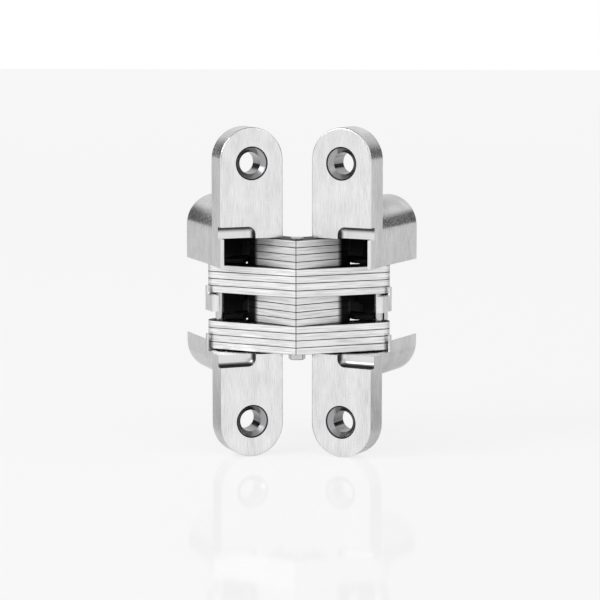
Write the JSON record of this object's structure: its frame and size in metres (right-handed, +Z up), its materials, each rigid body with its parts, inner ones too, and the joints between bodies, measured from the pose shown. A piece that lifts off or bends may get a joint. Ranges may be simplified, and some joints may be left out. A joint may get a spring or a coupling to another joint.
{
  "type": "concealed invisible door hinge",
  "caption": "Concealed door hinge: round-ended cast leaves with deep cups and countersunk screw holes, joined by a stack of stamped link plates on pins.",
  "frame": {"origin": "middle of the hinge's box as it stands half folded", "axes": "+Z up along the pins, +Y from the faces back into the cups, +X from the left leaf to the right leaf"},
  "size_m": [0.068, 0.0362, 0.095],
  "materials": {
    "cast_leaf": "satin chrome plated zinc casting, brushed along its length",
    "link_steel": "stamped steel, satin nickel plated",
    "pin_steel": "turned steel, polished"
  },
  "bodies": {
    "left_leaf": {"leaf_left": "cast_leaf", "pivot_pin_left": "pin_steel"},
    "link_pack": {"narrow_link_1": "link_steel", "narrow_link_2": "link_steel", "narrow_link_3": "link_steel", "narrow_link_4": "link_steel", "narrow_link_5": "link_steel", "narrow_link_6": "link_steel", "narrow_link_7": "link_steel", "narrow_link_8": "link_steel", "wide_link_1": "link_steel", "wide_link_2": "link_steel", "wide_link_3": "link_steel", "wide_link_4": "link_steel", "wide_link_5": "link_steel", "wide_link_6": "link_steel", "wide_link_7": "link_steel", "wide_link_8": "link_steel", "centre_pin": "pin_steel", "guide_pin_left": "pin_steel", "guide_pin_right": "pin_steel"},
    "right_leaf": {"leaf_right": "cast_leaf", "pivot_pin_right": "pin_steel"}
  },
  "joints": [
    {"name": "left_fold", "type": "hinge", "parent": "left_leaf", "child": "link_pack", "pos_m": [-0.01124, -0.00254, -0.001], "axis": [0, 0, 1], "range_deg": [-65, 25]},
    {"name": "right_fold", "type": "hinge", "parent": "link_pack", "child": "right_leaf", "pos_m": [0.01124, -0.00254, -0.001], "axis": [0, 0, 1], "range_deg": [-65, 25]}
  ],
  "couplings": [
    {"joint": "right_fold", "follows": "left_fold", "ratio": 1}
  ]
}
